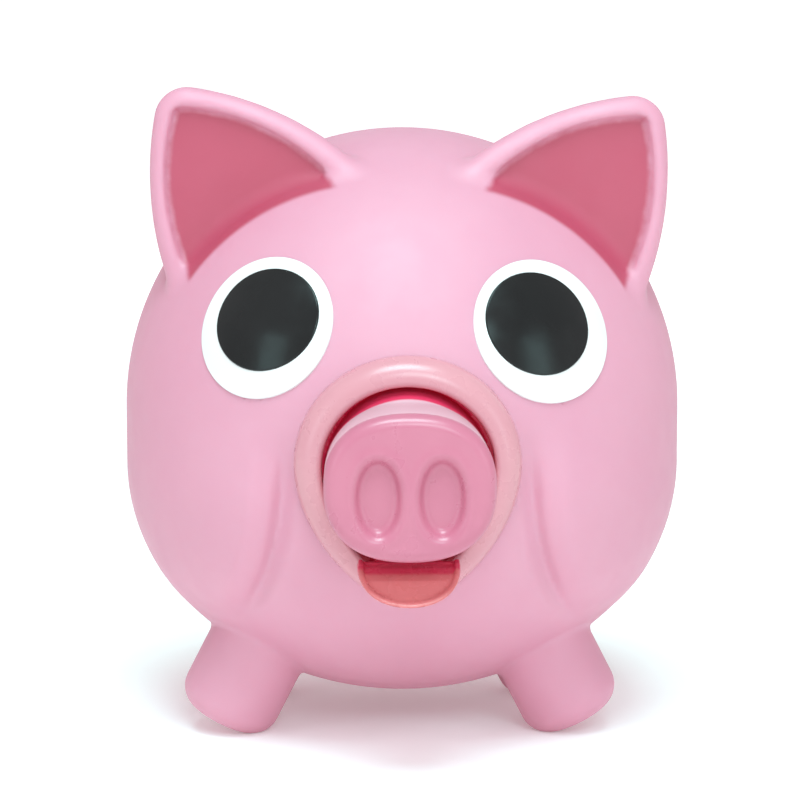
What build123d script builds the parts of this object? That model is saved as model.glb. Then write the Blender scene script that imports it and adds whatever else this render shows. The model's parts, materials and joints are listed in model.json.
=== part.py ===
"""Soft-vinyl piggy bank whose snout opens and tongue pokes out when the body is squeezed.

Millimetres, +Z up. The snout faces -Y and +X is the pig's left side. The origin lies on the
floor under the middle of the whole object. Most places are given from the body's centre:
reach is the distance in front of it, rise the height above it.
"""

import os
from math import acos, asin, cos, radians, sin, sqrt

from build123d import *

os.makedirs("parts", exist_ok=True)

# ---- body shell: rotocast soft vinyl ----
BODY_HALF_WIDTH = 70.0
BODY_DROP = 68.9  # depth of the belly below the centre
BAND_TOP = 3.7  # the upright band round the middle, and the crown's centre
BAND_LOW = 10.5
BODY_TOP = BAND_TOP + BODY_HALF_WIDTH
CORNER_RADIUS = 50.0
CORNER_AT = BODY_HALF_WIDTH - CORNER_RADIUS
_RISE = BODY_DROP - BAND_LOW
BELLY_RADIUS = (CORNER_AT**2 + _RISE**2 - CORNER_RADIUS**2) / (2 * (_RISE - CORNER_RADIUS))
BELLY_AT = BELLY_RADIUS - BODY_DROP
WALL = 3.0
SEAM = 50.0  # bearing of the profile's seam, clear of every opening
BODY_Z = 76.0  # height of the centre above the floor
SNOUT_FRONT = 92.6  # reach of the snout's face
TAIL_RADIUS = 5.5
TAIL_THICK = 2.3
TAIL_SEAT = 70.3  # how far behind the centre the curl lies
TAIL_RISE = 4.0
TAIL_BACK = TAIL_SEAT + TAIL_THICK
BODY_Y = (SNOUT_FRONT - TAIL_BACK) / 2

LEG_RADIUS = 12.6
LEG_SPLAY = 27.0
LEG_END = (22.0, -73.2)  # middle of a front sole: reach and rise
LEG_X = {1: 46.0, -1: 42.5}  # the front pair stands a little wider than the rear one
LEG_LENGTH = 40.0
LEG_ROUND = 6.0

EAR_MIDDLE = (35.7, 25.2, 50.0)  # middle of the ear's root: x, reach, rise
EAR_ALONG = (0.788, 0.118, -0.605)
EAR_FACING = (0.17, -0.985, 0.03)
EAR_HALF_BASE = 28.0
EAR_HEIGHT = 43.0
EAR_SINK = 8.0
EAR_BULGE = 4.2
EAR_THICK = 9.0
EAR_RIM = 6.0
EAR_DISH = 3.6
EAR_LEAN = 1.2  # both ears lean this much to the pig's left, as seen from the front

SLOT_LENGTH = 36.0
SLOT_WIDTH = 5.0
SLOT_REACH = -32.0

# ---- mouth: an egg-shaped collar set in the vinyl ----
EGG_HALF_WIDTH = 27.0
EGG_TOP = 26.0
EGG_LOW = 33.4
EGG_RISE = -2.0
ROUND_EGG = 0.5523  # Bezier arm of a true quarter ellipse
LEAN_EGG = 0.45  # arm of the leaner lower half
SEAT_REACH = 61.0
RING_FRONT = 72.5
RING_ROUND = 4.6
LIP_ROUND = 0.8
OPENING = (20.4, 19.0, 27.4)  # the hole in the collar: half width, top and low
SLEEVE_INSET = 2.7
SLEEVE_REAR = 52.0
RIB_INSET = 1.2
RIB_FRONT = 57.7  # the rib snaps behind the vinyl seat
CUP_REAR = 36.0
CUP_INSET = 6.2
CUP_WALL = 2.0
FLANGE_REAR = 50.0
SCREWS = ((-14, 15), (14, 15), (-14, -24.8), (14, -24.8))  # x and rise
SCREW_RADIUS = 1.0

# ---- snout, hinged across the opening ----
HINGE_REACH = 64.0
HINGE_RISE = -4.0
PIN_RADIUS = 1.25
PIN_INNER = 16.0
PIN_OUTER = 24.8
BALL_HALF_WIDTH = 19.6
BALL_RADIUS = 20.4
BALL_REAR = 57.0
BARREL_FRONT = (20.0, 17.3)  # half width and half height at the face
BARREL_REAR = (19.7, 18.3)
BARREL_START = 62.0
SQUARISH = 0.6  # Bezier arm of the snout's blunter oval
FACE_SEAT = 88.6
SNOUT_WALL = 1.8
CRANK = 14.45  # from the hinge down to the crank pin
CRANK_PIN_RADIUS = 1.2
NOSTRIL = (4.4, 8.0)  # half width and half height at the bottom of the recess
NOSTRIL_PLACE = (7.4, -2.2)
NOSTRIL_DEPTH = 2.2
THROAT = (57.0, 72.0)  # opening under the ball for the plunger, from reach to reach
THROAT_TOP = -10.0
THROAT_HALF = 13.0
WEB = ((61.4, -20.8), (66.5, -20.8), (73, -19.3), (80, -19), (80, -15), (61.4, -15))  # reach, rise
WEB_MIDDLE = 8.5
WEB_THICK = 2.0
SNOUT_SWING = 15.5

# ---- air drive behind the mouth ----
STEM_RISE = -11.0
STEM_RADIUS = 3.0
DRUM_RADIUS = 15.0
DRUM_WALL = 2.0
DRUM_REAR = 20.8
DIAPHRAGM = 0.8
PLATE_REAR = 20.85
PLATE_THICK = 1.8
STEM_FRONT = 66.0
FORK = ((59, -10), (69.5, -10), (69.5, -23.4), (59, -23.4))  # reach, rise
FORK_THICK = 4.0
SPRING_PITCH = 2.3
SPRING_LONG = 12.0
SPRING_RADIUS = 5.5
SPRING_WIRE = 0.45
TONGUE_DROP = ((73, -25), (78, -26.6), (82, -29.2), (85.4, -32.8))  # underside: reach, rise
TONGUE_REAR = 57.5
TONGUE_SHOULDER = 73.2
TONGUE_WIDE = 75.0
TONGUE_TIP = 85.8
TONGUE_HALF_WIDTH = 11.8
TONGUE_NECK = 7.5
TONGUE_ARMS = (0.62, 0.42)  # how far the blade runs straight at its sides, and at its tip
TONGUE_FLOOR = 1.6
TONGUE_RIM = 1.2
TONGUE_RIM_HIGH = 3.6
WHISTLE_RISE = 8.6
WHISTLE_RADIUS = 4.0
WHISTLE_REAR = 26.0
WHISTLE_BORE = 2.6
REED_THICK = 0.3

# ---- eyes ----
# The eyes are set by hand, so the pig's right one (-1) and left one (1) differ a little.
EYE_PLACE = {-1: (34.5, 29.9), 1: (33.2, 29.0)}  # x and rise
EYE_HALF = {-1: (18.2, 17.65), 1: (18.7, 17.8)}
PUPIL_HALF = (13.8, 12.8)
PUPIL_SHIFT = {-1: (1.2, 1.4), 1: (2.2, 1.4)}  # towards the snout, and up
EYE_SEAT_DEPTH = 3.0
EYE_PROUD = 2.2
EYE_DOME = 42.5
EYE_PEG = 2.6
EYE_PEG_END = 10.5
PUPIL_SEAT_DEPTH = 1.4

# ---- stopper, low on the back ----
STOPPER_ANGLE = 50.0  # below the horizontal
STOPPER_BORE = 12.5
STOPPER_CAP = 16.0
STOPPER_SEAT_DEPTH = 2.6
STOPPER_NECK = 6.0

SEAT_FLOOR = 3.2  # vinyl left under the eyes and the stopper

GAP = 0.3
FRONT = (0, -1, 0)


def place(x, reach, rise):
    """A point given from the body's centre."""
    return Vector(x, BODY_Y - reach, BODY_Z + rise)


def front_plane(reach, rise=0.0):
    """Plane that faces the front, its local y being the height above rise."""
    return Plane(place(0, reach, rise), x_dir=(1, 0, 0), z_dir=FRONT)


def across_plane(x, reach, rise):
    """Plane that faces +X at a point, its local x running to the back."""
    return Plane(place(x, reach, rise), x_dir=(0, 1, 0), z_dir=(1, 0, 0))


def body_surface(inset):
    """Round body taken in all over: domed crown, short upright band, corner and flatter belly."""
    crown, corner, belly = BODY_HALF_WIDTH - inset, CORNER_RADIUS - inset, BELLY_RADIUS - inset
    lean = Vector(CORNER_AT, -BAND_LOW - BELLY_AT).normalized()
    half = radians(45)
    corner_turn = -acos(lean.X) / 2
    angle = radians(SEAM)
    sideways, facing = (cos(angle), sin(angle), 0), (sin(angle), -cos(angle), 0)
    meridian = Plane(place(0, 0, 0), x_dir=sideways, z_dir=facing)
    joint = (belly * lean.X, BELLY_AT + belly * lean.Y)
    with BuildPart() as solid:
        with BuildSketch(meridian):
            with BuildLine():
                ThreePointArc(
                    (0, BAND_TOP + crown),
                    (crown * sin(half), BAND_TOP + crown * cos(half)),
                    (crown, BAND_TOP),
                )
                Line((crown, BAND_TOP), (crown, -BAND_LOW))
                ThreePointArc(
                    (crown, -BAND_LOW),
                    (CORNER_AT + corner * cos(corner_turn), -BAND_LOW + corner * sin(corner_turn)),
                    joint,
                )
                turn = asin(lean.X) / 2
                ThreePointArc(
                    joint,
                    (belly * sin(turn), BELLY_AT - belly * cos(turn)),
                    (0, BELLY_AT - belly),
                )
                Line((0, BELLY_AT - belly), (0, BAND_TOP + crown))
            make_face()
        revolve(axis=Axis((0, BODY_Y, 0), (0, 0, 1)))
    return solid.part


def egg_face(reach, width, top, low):
    """Egg shape that faces the front: half an ellipse above, leaner Bezier quarters below."""
    with BuildSketch(front_plane(reach, EGG_RISE)) as face:
        with BuildLine():
            EllipticalCenterArc((0, 0), width, top, 0, arc_size=180)
            for side in (-1, 1):
                Bezier(
                    (side * width, 0),
                    (side * width, -LEAN_EGG * low),
                    (side * LEAN_EGG * width, -low),
                    (0, -low),
                )
        make_face()
    return face.sketch


def egg(reach, inset=0.0):
    """Outline of the mouth's collar, taken in all round."""
    return egg_face(reach, EGG_HALF_WIDTH - inset, EGG_TOP - inset, EGG_LOW - inset)


def disc(plane, radius):
    with BuildSketch(plane) as face:
        Circle(radius)
    return face.sketch


def oval(plane, half, shift=(0, 0)):
    with BuildSketch(plane) as face:
        with Locations(shift):
            Ellipse(*half)
    return face.sketch


def keep(piece, name):
    piece.part.label = name
    export_step(piece.part, f"parts/{name}.step")


# ---- local planes ----
def eye_plane(side):
    """Plane on the crown at an eye, facing outwards, its local y up the face."""
    x, rise = EYE_PLACE[side]
    reach = sqrt(BODY_HALF_WIDTH**2 - x**2 - (rise - BAND_TOP) ** 2)
    outward = Vector(side * x, -reach, rise - BAND_TOP)
    across = Vector(0, 0, 1).cross(outward)
    return Plane(place(side * x, reach, rise), x_dir=across, z_dir=outward)


def ear_plane():
    x, reach, rise = EAR_MIDDLE
    return Plane(place(x, reach, rise), x_dir=EAR_ALONG, z_dir=EAR_FACING)


def stopper_plane():
    """Plane on the body's corner at the stopper, facing back and down."""
    angle = radians(STOPPER_ANGLE)
    outward = Vector(0, cos(angle), -sin(angle))
    seat = place(0, -CORNER_AT, -BAND_LOW) + CORNER_RADIUS * outward
    return Plane(seat, x_dir=(1, 0, 0), z_dir=outward)


def leg_plane(side, end):
    """Plane of a sole, facing outwards along the leg. End is 1 in front and -1 behind."""
    reach, rise = LEG_END
    angle = radians(LEG_SPLAY)
    outward = (side * sin(angle), 0, -cos(angle))
    return Plane(place(side * LEG_X[end], end * reach, rise), x_dir=(0, 1, 0), z_dir=outward)


# ---- ears and legs, moulded with the shell ----
def ear_outline(inset, sink, tip_radius):
    """Leaf shape with two bulging edges and a rounded tip, on the ear's plane."""
    half, height = EAR_HALF_BASE - 1.2 * inset, EAR_HEIGHT - 1.6 * inset
    middle = (half / 2 + EAR_BULGE, height / 2 + EAR_BULGE / 2)
    with BuildSketch(ear_plane()) as leaf:
        with BuildLine():
            ThreePointArc((-half, 0), (-middle[0], middle[1]), (0, height))
            ThreePointArc((0, height), middle, (half, 0))
            Polyline((half, 0), (half - 4, -sink), (4 - half, -sink), (-half, 0))
        make_face()
        tip = ear_plane().from_local_coords((0, height))
        fillet(leaf.vertices().sort_by_distance(tip)[0], tip_radius)
    return leaf.sketch


with BuildPart() as ear:
    extrude(ear_outline(0, EAR_SINK, 7), amount=EAR_THICK / 2, both=True)
    rims = ear.faces().filter_by(Plane(origin=(0, 0, 0), z_dir=EAR_FACING)).edges()
    fillet(rims, 3.8)
    with BuildSketch(ear_plane().offset(EAR_THICK / 2 - EAR_DISH)):
        add(ear_plane().to_local_coords(ear_outline(EAR_RIM, 0, 2)))
    extrude(amount=2 * EAR_DISH, mode=Mode.SUBTRACT)

lean_axis = Axis(place(0, 0, 0), (0, 1, 0))
ears = [half.rotate(lean_axis, EAR_LEAN) for half in (ear.part, ear.part.mirror(Plane.YZ))]

with BuildPart() as legs:
    for side in (-1, 1):
        for end in (-1, 1):
            with BuildSketch(leg_plane(side, end)):
                Circle(LEG_RADIUS)
    extrude(amount=-LEG_LENGTH)
    fillet(legs.edges().filter_by(GeomType.CIRCLE).group_by(Axis.Z)[0], LEG_ROUND)

with BuildPart() as hollow:
    add(body_surface(WALL))
    extrude(egg(SEAT_REACH - WALL, -3.5), amount=25, mode=Mode.SUBTRACT)
    for side in (-1, 1):
        boss = disc(eye_plane(side).offset(-EYE_SEAT_DEPTH - SEAT_FLOOR), 21)
        extrude(boss, amount=20, mode=Mode.SUBTRACT)
    boss = disc(stopper_plane().offset(-STOPPER_SEAT_DEPTH - SEAT_FLOOR), STOPPER_CAP + 3)
    extrude(boss, amount=20, mode=Mode.SUBTRACT)
    for side in (-1, 1):
        for end in (-1, 1):
            core = disc(leg_plane(side, end).offset(-WALL), LEG_RADIUS - WALL)
            extrude(core, amount=-LEG_LENGTH)

with BuildPart() as tail:
    with BuildLine(Plane(place(0, -TAIL_SEAT, TAIL_RISE), x_dir=(-1, 0, 0), z_dir=(0, 1, 0))):
        curl = CenterArc((0, 0), TAIL_RADIUS, -70, 320)
        root = Line(curl @ 1, curl @ 1 + 7 * (curl % 1))
    for piece in (curl, root):
        with BuildSketch(Plane(piece @ 0, z_dir=piece % 0)):
            Circle(TAIL_THICK)
        sweep(path=piece)
    for end in (curl @ 0, root @ 0, root @ 1):
        with Locations(end):
            Sphere(TAIL_THICK)

with BuildPart() as cutters:
    add(hollow.part)
    extrude(egg(SEAT_REACH, -GAP), amount=40)
    extrude(egg(30, SLEEVE_INSET - 0.2), amount=60)
    for side in (-1, 1):
        seat = [h + 0.1 for h in EYE_HALF[side]]
        extrude(oval(eye_plane(side).offset(-EYE_SEAT_DEPTH), seat), amount=20)
        extrude(disc(eye_plane(side).offset(-15), EYE_PEG + 0.1), amount=20)
    extrude(disc(stopper_plane().offset(-STOPPER_SEAT_DEPTH), STOPPER_CAP + 0.2), amount=20)
    extrude(disc(stopper_plane().offset(-20), STOPPER_BORE), amount=40)
    with Locations(place(0, SLOT_REACH, BODY_TOP - 10)):
        Box(SLOT_LENGTH, SLOT_WIDTH, 40)
    with Locations((0, BODY_Y, -50)):
        Box(300, 300, 100)

with BuildPart() as body_shell:
    add(body_surface(0))
    add(legs.part)
    add(ears)
    add(tail.part)
    add(cutters.part, mode=Mode.SUBTRACT)
keep(body_shell, "body_shell")

# ---- eyes ----
for side, name in ((-1, "right"), (1, "left")):
    face = eye_plane(side)
    dome_middle = Plane(face.from_local_coords(Vector(0, 0, EYE_PROUD - EYE_DOME)))
    inwards, up = PUPIL_SHIFT[side]
    shift = (-side * inwards, up)
    with BuildPart() as eye_white:
        extrude(oval(face.offset(-EYE_SEAT_DEPTH), EYE_HALF[side]), amount=8)
        with Locations(dome_middle):
            Sphere(EYE_DOME, mode=Mode.INTERSECT)
        fillet(eye_white.edges().sort_by(Axis(face.origin, face.z_dir))[-1], 0.5)
        recess = oval(face.offset(-PUPIL_SEAT_DEPTH), [h + 0.05 for h in PUPIL_HALF], shift)
        extrude(recess, amount=8, mode=Mode.SUBTRACT)
        extrude(disc(face.offset(-EYE_PEG_END), EYE_PEG), amount=EYE_PEG_END - EYE_SEAT_DEPTH)
    keep(eye_white, f"eye_white_{name}")

    with BuildPart() as pupil:
        extrude(oval(face.offset(-PUPIL_SEAT_DEPTH), PUPIL_HALF, shift), amount=8)
        with Locations(dome_middle):
            Sphere(EYE_DOME + 0.35, mode=Mode.INTERSECT)
        dome = pupil.faces().filter_by(GeomType.SPHERE)
        fillet(dome.edges().sort_by(SortBy.LENGTH)[-1], 0.3)
    keep(pupil, f"pupil_{name}")

with BuildPart() as eye_washers:
    for side in (-1, 1):
        under = eye_plane(side).offset(-EYE_SEAT_DEPTH - SEAT_FLOOR - 0.05)
        extrude(disc(under, 6), amount=-1.2)
        extrude(disc(under, EYE_PEG + 0.02), amount=-1.2, mode=Mode.SUBTRACT)
keep(eye_washers, "eye_washers")

# ---- mouth collar and the liner behind it ----
with BuildPart() as mouth_ring:
    extrude(egg(SEAT_REACH), amount=RING_FRONT - SEAT_REACH)
    extrude(egg_face(SEAT_REACH - 1, *OPENING), amount=30, mode=Mode.SUBTRACT)
    fillet(mouth_ring.faces().sort_by(Axis.Y)[0].inner_wires()[0].edges(), LIP_ROUND)
    fillet(mouth_ring.faces().sort_by(Axis.Y)[0].outer_wire().edges(), RING_ROUND)
    extrude(egg(SLEEVE_REAR, SLEEVE_INSET), amount=SEAT_REACH - SLEEVE_REAR + 1)
    extrude(egg(RIB_FRONT - 2, RIB_INSET), amount=2)
    extrude(egg_face(SLEEVE_REAR - 1, *OPENING), amount=15, mode=Mode.SUBTRACT)
    for x, rise in SCREWS:
        with Locations(front_plane(SLEEVE_REAR) * Location((x, rise))):
            Cylinder(SCREW_RADIUS + 0.02, 7, align=(Align.CENTER, Align.CENTER, Align.MIN),
                     mode=Mode.SUBTRACT)
    with Locations(across_plane(0, HINGE_REACH, HINGE_RISE)):
        Cylinder(PIN_RADIUS + 0.01, 2 * PIN_OUTER + 0.4, mode=Mode.SUBTRACT)
keep(mouth_ring, "mouth_ring")

with BuildPart() as mouth_cup:
    extrude(egg(CUP_REAR, CUP_INSET), amount=FLANGE_REAR - CUP_REAR)
    extrude(egg(FLANGE_REAR, SLEEVE_INSET), amount=SLEEVE_REAR - FLANGE_REAR)
    extrude(egg(CUP_REAR + CUP_WALL, CUP_INSET + 1.5), amount=30, mode=Mode.SUBTRACT)
    extrude(disc(front_plane(DRUM_REAR, STEM_RISE), DRUM_RADIUS), amount=CUP_REAR - DRUM_REAR)
    drum_bore = disc(front_plane(DRUM_REAR, STEM_RISE), DRUM_RADIUS - DRUM_WALL)
    extrude(drum_bore, amount=CUP_REAR - DRUM_REAR, mode=Mode.SUBTRACT)
    stem_guide = disc(front_plane(CUP_REAR - 1, STEM_RISE), STEM_RADIUS + 0.06)
    extrude(stem_guide, amount=CUP_WALL + 2, mode=Mode.SUBTRACT)
    whistle_seat = disc(front_plane(CUP_REAR - 1, WHISTLE_RISE), WHISTLE_RADIUS + 0.05)
    extrude(whistle_seat, amount=CUP_WALL + 2, mode=Mode.SUBTRACT)
    for x in (-9, 9):
        with BuildSketch(front_plane(CUP_REAR - 1, STEM_RISE)):
            with Locations((x, 0)):
                Circle(1.2)
    extrude(amount=CUP_WALL + 2, mode=Mode.SUBTRACT)
    for x, rise in SCREWS:
        with BuildSketch(front_plane(FLANGE_REAR - 1, rise)):
            with Locations((x, 0)):
                Circle(SCREW_RADIUS + 0.1)
    extrude(amount=4, mode=Mode.SUBTRACT)
keep(mouth_cup, "mouth_cup")

with BuildPart() as housing_screws:
    for x, rise in SCREWS:
        with BuildSketch(front_plane(FLANGE_REAR - 1.25, rise)):
            with Locations((x, 0)):
                Circle(1.6)
    extrude(amount=1.2)
    for x, rise in SCREWS:
        with BuildSketch(front_plane(FLANGE_REAR - 0.1, rise)):
            with Locations((x, 0)):
                Circle(SCREW_RADIUS)
    extrude(amount=7.6)
keep(housing_screws, "housing_screws")

with BuildPart() as hinge_pins:
    for side in (-1, 1):
        with Locations(across_plane(side * (PIN_INNER + PIN_OUTER) / 2, HINGE_REACH, HINGE_RISE)):
            Cylinder(PIN_RADIUS, PIN_OUTER - PIN_INNER)
keep(hinge_pins, "hinge_pins")


# ---- snout ----
def snout_oval(reach, half, arm):
    """Blunt oval round the snout's axis, drawn with four Bezier quarters."""
    width, height = half
    with BuildSketch(front_plane(reach, HINGE_RISE)) as face:
        with BuildLine():
            for sx in (-1, 1):
                for sy in (-1, 1):
                    Bezier(
                        (sx * width, 0),
                        (sx * width, sy * arm * height),
                        (sx * arm * width, sy * height),
                        (0, sy * height),
                    )
        make_face()
    return face.sketch


def snout_body(inset, front, rear_cut):
    """Ball on the hinge and the barrel ahead of it, taken in all over."""
    rear = [h - inset for h in BARREL_REAR]
    tip = [h - inset for h in BARREL_FRONT]
    with BuildPart() as solid:
        with BuildSketch(front_plane(HINGE_REACH, HINGE_RISE)):
            Ellipse(BALL_HALF_WIDTH - inset, BALL_RADIUS - inset)
            Rectangle(60, 60, align=(Align.CENTER, Align.MAX), mode=Mode.SUBTRACT)
        revolve(axis=Axis(place(0, HINGE_REACH, HINGE_RISE), (1, 0, 0)))
        loft([snout_oval(BARREL_START, rear, ROUND_EGG), snout_oval(front, tip, SQUARISH)])
        with Locations(place(0, rear_cut - 30, HINGE_RISE)):
            Box(80, 60, 80, mode=Mode.SUBTRACT)
    return solid.part


with BuildPart() as snout_barrel:
    add(snout_body(0, FACE_SEAT, BALL_REAR))
    add(snout_body(SNOUT_WALL, FACE_SEAT + 1, BALL_REAR - 1), mode=Mode.SUBTRACT)
    with Locations(place(0, (THROAT[0] + THROAT[1]) / 2, THROAT_TOP - 15)):
        Box(2 * THROAT_HALF, THROAT[1] - THROAT[0], 30, mode=Mode.SUBTRACT)
    for side in (-1, 1):
        with Locations(across_plane(side * 17.5, HINGE_REACH, HINGE_RISE)):
            Cylinder(3.4, 4.2)
        with BuildSketch(across_plane(side * WEB_MIDDLE, 0, 0)):
            Polygon(*[(-reach, rise) for reach, rise in WEB], align=None)
        extrude(amount=WEB_THICK / 2, both=True)
    with Locations(across_plane(0, HINGE_REACH, HINGE_RISE)):
        Cylinder(PIN_RADIUS + 0.05, 60, mode=Mode.SUBTRACT)
    with Locations(across_plane(0, HINGE_REACH, HINGE_RISE - CRANK)):
        Cylinder(CRANK_PIN_RADIUS + 0.01, 30, mode=Mode.SUBTRACT)
keep(snout_barrel, "snout_barrel")

with BuildPart() as snout_face:
    extrude(snout_oval(FACE_SEAT, BARREL_FRONT, SQUARISH), amount=SNOUT_FRONT - FACE_SEAT)
    fillet(snout_face.faces().sort_by(Axis.Y)[0].edges(), 2.6)
    spigot = [h - SNOUT_WALL - 0.06 for h in BARREL_FRONT]
    extrude(snout_oval(FACE_SEAT - 4, spigot, SQUARISH), amount=4)
    inside = [h - SNOUT_WALL - 1.6 for h in BARREL_FRONT]
    extrude(snout_oval(FACE_SEAT - 5, inside, SQUARISH), amount=4.6, mode=Mode.SUBTRACT)
    for side in (-1, 1):
        with BuildSketch(front_plane(SNOUT_FRONT - NOSTRIL_DEPTH, HINGE_RISE + NOSTRIL_PLACE[1])):
            with Locations((side * NOSTRIL_PLACE[0], 0)):
                Ellipse(*NOSTRIL)
    extrude(amount=6, taper=-22, mode=Mode.SUBTRACT)
keep(snout_face, "snout_face")

with BuildPart() as crank_pin:
    with Locations(across_plane(0, HINGE_REACH, HINGE_RISE - CRANK)):
        Cylinder(CRANK_PIN_RADIUS, 2 * WEB_MIDDLE + WEB_THICK)
keep(crank_pin, "crank_pin")

# ---- plunger and tongue ----
with BuildPart() as plunger:
    extrude(disc(front_plane(PLATE_REAR, STEM_RISE), 10), amount=PLATE_THICK)
    extrude(disc(front_plane(PLATE_REAR, STEM_RISE), STEM_RADIUS), amount=STEM_FRONT - PLATE_REAR)
    with BuildSketch(across_plane(0, 0, 0)):
        Polygon(*[(-reach, rise) for reach, rise in FORK], align=None)
    extrude(amount=FORK_THICK / 2, both=True)
    slot_top = HINGE_RISE - CRANK * cos(radians(SNOUT_SWING)) + CRANK_PIN_RADIUS + 0.4
    slot_bottom = HINGE_RISE - CRANK - CRANK_PIN_RADIUS - 0.4
    with Locations(place(0, HINGE_REACH, (slot_top + slot_bottom) / 2)):
        Box(6, 2 * CRANK_PIN_RADIUS + 0.4, slot_top - slot_bottom, mode=Mode.SUBTRACT)
keep(plunger, "plunger")


def tongue_band(low, high, width):
    """Band between two heights above the tongue's underside, across a width."""
    lean = radians(22)
    with BuildPart() as band:
        with BuildSketch(across_plane(-width, 0, 0)):
            with BuildLine():
                rows = []
                for up in (low, high):
                    shifted = [(-r - up * sin(lean), z + up * cos(lean)) for r, z in TONGUE_DROP]
                    flat = (-TONGUE_REAR, TONGUE_DROP[0][1] + up * cos(lean))
                    rows.append((flat, shifted))
                (flat_low, lower), (flat_high, upper) = rows
                Polyline(lower[0], flat_low, flat_high, upper[0])
                Spline(*upper, tangents=((-1, 0), (-0.6, -0.8)))
                Line(upper[-1], lower[-1])
                Spline(*lower, tangents=((-1, 0), (-0.6, -0.8)))
            make_face()
        extrude(amount=2 * width)
    return band.part


def tongue_plan(inset):
    """Spoon-shaped outline seen from above: a neck, then the rounded blade."""
    half, neck = TONGUE_HALF_WIDTH - inset, TONGUE_NECK - inset
    tip = TONGUE_TIP - 0.8 * inset
    with BuildSketch(Plane(place(0, 0, -60), x_dir=(1, 0, 0))) as plan:
        with BuildLine():
            Polyline(
                (-half, -TONGUE_WIDE),
                (-neck, -TONGUE_SHOULDER),
                (-neck, -TONGUE_REAR + inset),
                (neck, -TONGUE_REAR + inset),
                (neck, -TONGUE_SHOULDER),
                (half, -TONGUE_WIDE),
            )
            for side in (-1, 1):
                Bezier(
                    (side * half, -TONGUE_WIDE),
                    (side * half, -TONGUE_WIDE - TONGUE_ARMS[0] * (tip - TONGUE_WIDE)),
                    (side * TONGUE_ARMS[1] * half, -tip),
                    (0, -tip),
                )
        make_face()
    return plan.sketch


with BuildPart() as dish:
    extrude(tongue_plan(TONGUE_RIM), amount=60)
    add(tongue_band(TONGUE_FLOOR, TONGUE_RIM_HIGH + 2, 14), mode=Mode.INTERSECT)

with BuildPart() as tongue:
    extrude(tongue_plan(0), amount=60)
    add(tongue_band(0, TONGUE_RIM_HIGH, 14), mode=Mode.INTERSECT)
    add(dish.part, mode=Mode.SUBTRACT)
    with Locations(place(0, TONGUE_WIDE - 1.5 - 20, TONGUE_DROP[0][1] + TONGUE_FLOOR + 10)):
        Box(40, 40, 20, mode=Mode.SUBTRACT)
keep(tongue, "tongue")

# ---- air drive ----
with BuildPart() as return_spring:
    with BuildLine():
        coil = Helix(SPRING_PITCH, SPRING_LONG, SPRING_RADIUS,
                     center=place(0, PLATE_REAR + PLATE_THICK + 0.6, STEM_RISE), direction=FRONT)
    with BuildSketch(Plane(coil @ 0, z_dir=coil % 0)):
        Circle(SPRING_WIRE)
    sweep(path=coil)
keep(return_spring, "return_spring")

with BuildPart() as diaphragm:
    skin = disc(front_plane(DRUM_REAR - DIAPHRAGM, STEM_RISE), DRUM_RADIUS - 0.2)
    extrude(skin, amount=DIAPHRAGM - 0.02)
keep(diaphragm, "diaphragm")

with BuildPart() as diaphragm_cap:
    rear = DRUM_REAR - DIAPHRAGM - 2
    extrude(disc(front_plane(rear, STEM_RISE), DRUM_RADIUS + 1.6), amount=7)
    pocket = disc(front_plane(rear + 1.98, STEM_RISE), DRUM_RADIUS + 0.05)
    extrude(pocket, amount=6, mode=Mode.SUBTRACT)
    extrude(disc(front_plane(rear, STEM_RISE), DRUM_RADIUS - 4), amount=3, mode=Mode.SUBTRACT)
keep(diaphragm_cap, "diaphragm_cap")

with BuildPart() as whistle_tube:
    whistle_front = CUP_REAR + CUP_WALL + 0.02
    rear_plane = front_plane(WHISTLE_REAR, WHISTLE_RISE)
    extrude(disc(rear_plane, WHISTLE_RADIUS), amount=whistle_front - WHISTLE_REAR)
    extrude(disc(front_plane(whistle_front, WHISTLE_RISE), WHISTLE_RADIUS + 1.2), amount=1.2)
    extrude(disc(rear_plane, WHISTLE_BORE), amount=20, mode=Mode.SUBTRACT)
    for low, high, length in ((-4, 0, 9), (REED_THICK + 0.02, 4, 2.4)):
        with BuildSketch(front_plane(WHISTLE_REAR + 1, WHISTLE_RISE)):
            Circle(WHISTLE_BORE + 0.2)
            with Locations((0, (low + high) / 2)):
                Rectangle(10, high - low, mode=Mode.INTERSECT)
        extrude(amount=length)
    with BuildSketch(front_plane(WHISTLE_REAR, WHISTLE_RISE)):
        with Locations((0, -0.6)):
            Rectangle(2.4, 1.3)
    extrude(amount=12, mode=Mode.SUBTRACT)
keep(whistle_tube, "whistle_tube")

with BuildPart() as whistle_reed:
    with BuildSketch(front_plane(WHISTLE_REAR + 1, WHISTLE_RISE)):
        with Locations((0, REED_THICK / 2 + 0.01)):
            Rectangle(3.6, REED_THICK)
    extrude(amount=8)
keep(whistle_reed, "whistle_reed")

# ---- stopper ----
with BuildPart() as stopper:
    out = Axis(stopper_plane().origin, stopper_plane().z_dir)
    extrude(disc(stopper_plane().offset(-STOPPER_SEAT_DEPTH + 0.02), STOPPER_CAP), amount=2.2)
    fillet(stopper.faces().sort_by(out)[-1].edges(), 0.8)
    neck = disc(stopper_plane().offset(-STOPPER_SEAT_DEPTH + 0.1), STOPPER_BORE - 0.2)
    extrude(neck, amount=-STOPPER_NECK)
    rib = disc(stopper_plane().offset(-STOPPER_SEAT_DEPTH - STOPPER_NECK + 1.6), STOPPER_BORE - 0.06)
    extrude(rib, amount=-1.2)
    core = disc(stopper_plane().offset(-STOPPER_SEAT_DEPTH - STOPPER_NECK), STOPPER_BORE - 2.4)
    extrude(core, amount=STOPPER_NECK - 0.4, mode=Mode.SUBTRACT)
    with BuildSketch(stopper_plane().offset(-STOPPER_SEAT_DEPTH + 2)):
        SlotOverall(17, 3)
    extrude(amount=2.6)
keep(stopper, "stopper")
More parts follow.
